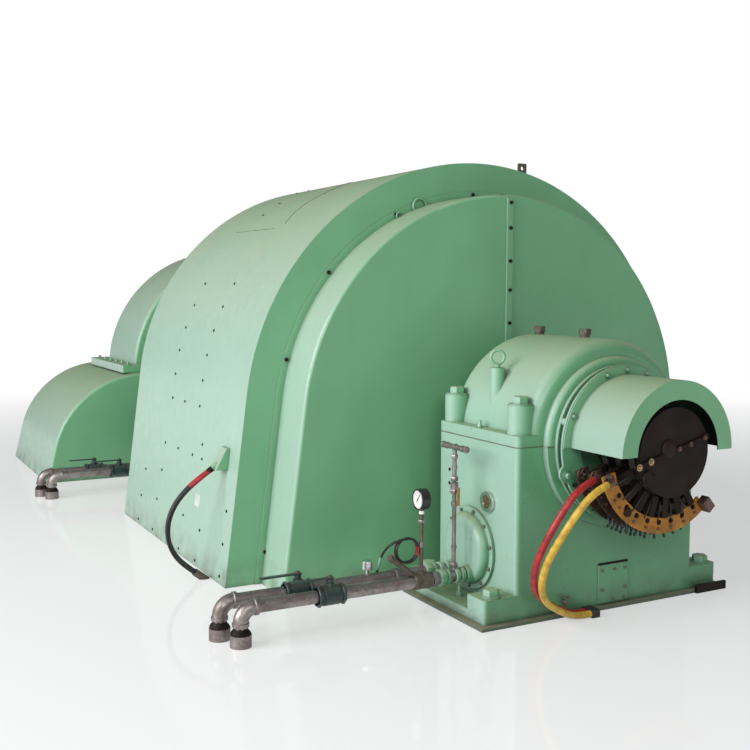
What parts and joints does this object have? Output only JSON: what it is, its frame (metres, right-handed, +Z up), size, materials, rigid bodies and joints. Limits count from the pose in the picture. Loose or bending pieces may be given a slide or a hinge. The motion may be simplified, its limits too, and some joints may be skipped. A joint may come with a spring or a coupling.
{
  "type": "horizontal pelton turbine and generator set",
  "caption": "Horizontal Pelton turbine casing and arched generator hood on one shaft, with two pedestal bearings, oil pipes and valves, and slip rings under a half-round canopy.",
  "frame": {"origin": "on the floor under the shaft, at the middle of the front pedestal's sole plate", "axes": "+Z up; +Y along the shaft from the slip-ring end to the turbine; +X to the right seen from the slip-ring end"},
  "size_m": [3.831, 6.462, 2.2948],
  "materials": {
    "casting_paint": "pale sea-green machine enamel on castings, semi-gloss",
    "hood_paint": "pale sea-green machine enamel on sheet metal, semi-gloss",
    "grout_steel": "painted steel with dirt along its edge",
    "bronze": "machined bearing bronze",
    "rusty_steel": "red-brown rusted steel",
    "bright_steel": "bright plated",
    "clear_glass": "clear glass over brown oil",
    "galvanised_pipe": "dirty galvanised steel",
    "valve_paint": "dark teal enamel",
    "shaft_steel": "machined steel",
    "dark_insulation": "dark brown moulded insulation",
    "slip_ring_metal": "polished dark steel",
    "dark_steel": "near-black enamel",
    "orange_insulation": "orange-brown laminated insulation",
    "terminal_metal": "tinned copper",
    "gauge_black": "black case",
    "lever_yellow": "worn brown-yellow grip",
    "red_tape": "red tape wrapping",
    "yellow_tape": "yellow tape wrapping",
    "black_rubber": "black rubber"
  },
  "bodies": {
    "casing": {"sole_plates": "grout_steel", "front_pedestal": "casting_paint", "rear_pedestal": "casting_paint", "front_bearing_cap": "casting_paint", "rear_bearing_cap": "casting_paint", "bearing_shells": "bronze", "pedestal_side_covers": "casting_paint", "lifting_eyes": "casting_paint", "oil_filler_plugs": "rusty_steel", "sight_glass_bezel": "bright_steel", "sight_glass": "clear_glass", "access_plate": "casting_paint", "drain_cock": "galvanised_pipe", "seal_plate": "casting_paint", "brush_carrier_ring": "casting_paint", "slip_ring_canopy": "hood_paint", "brush_arc_plates": "orange_insulation", "brush_holders": "dark_steel", "brush_studs": "dark_steel", "brush_terminals": "terminal_metal", "generator_hood": "hood_paint", "hood_end_plates": "hood_paint", "left_bell_halves": "hood_paint", "right_bell_halves": "hood_paint", "bell_centre_straps": "hood_paint", "hood_shaft_seals": "hood_paint", "hood_lifting_lug": "rusty_steel", "cable_outlet_box": "hood_paint", "turbine_lower_casing": "hood_paint", "turbine_split_flange": "hood_paint", "turbine_upper_casing": "hood_paint", "turbine_shaft_housing": "hood_paint", "front_oil_pipes": "galvanised_pipe", "rear_oil_pipes": "galvanised_pipe", "valve_bodies": "valve_paint", "floor_unions": "galvanised_pipe", "gauge_stem": "rusty_steel", "pressure_gauge": "gauge_black", "oil_cup": "bright_steel", "drip_line": "galvanised_pipe", "red_lead": "red_tape", "yellow_lead": "yellow_tape", "lead_floor_bush": "black_rubber", "power_cables": "black_rubber", "power_cable_conduit": "rusty_steel", "sensor_cable_coil": "black_rubber", "sensor_cable": "black_rubber"},
    "rotor": {"shaft": "shaft_steel", "slip_ring_hub": "dark_insulation", "slip_rings": "slip_ring_metal", "slip_ring_end_disc": "dark_steel", "end_disc_strap": "dark_steel"},
    "front_near_lever": {"front_near_valve_lever": "valve_paint"},
    "front_far_lever": {"front_far_valve_lever": "valve_paint"},
    "rear_near_lever": {"rear_near_valve_lever": "valve_paint"},
    "rear_far_lever": {"rear_far_valve_lever": "valve_paint"},
    "drip_lever": {"drip_valve_lever": "lever_yellow"}
  },
  "joints": [
    {"name": "shaft_turn", "type": "hinge", "parent": "casing", "child": "rotor", "pos_m": [0, 0, 0.825], "axis": [0, 1, 0], "continuous": true},
    {"name": "front_near_lever_turn", "type": "hinge", "parent": "casing", "child": "front_near_lever", "pos_m": [-1.369, -0.012, 0.244], "axis": [0, 0, 1], "range_deg": [0, 90]},
    {"name": "front_far_lever_turn", "type": "hinge", "parent": "casing", "child": "front_far_lever", "pos_m": [-1.471, 0.118, 0.244], "axis": [0, 0, -1], "range_deg": [0, 90]},
    {"name": "rear_near_lever_turn", "type": "hinge", "parent": "casing", "child": "rear_near_lever", "pos_m": [-1.404, 3.588, 0.244], "axis": [0, 0, 1], "range_deg": [0, 90]},
    {"name": "rear_far_lever_turn", "type": "hinge", "parent": "casing", "child": "rear_far_lever", "pos_m": [-1.563, 3.718, 0.244], "axis": [0, 0, -1], "range_deg": [0, 90]},
    {"name": "drip_lever_turn", "type": "hinge", "parent": "casing", "child": "drip_lever", "pos_m": [-0.702, -0.05, 0.6], "axis": [0, 1, 0], "range_deg": [0, 90]}
  ]
}
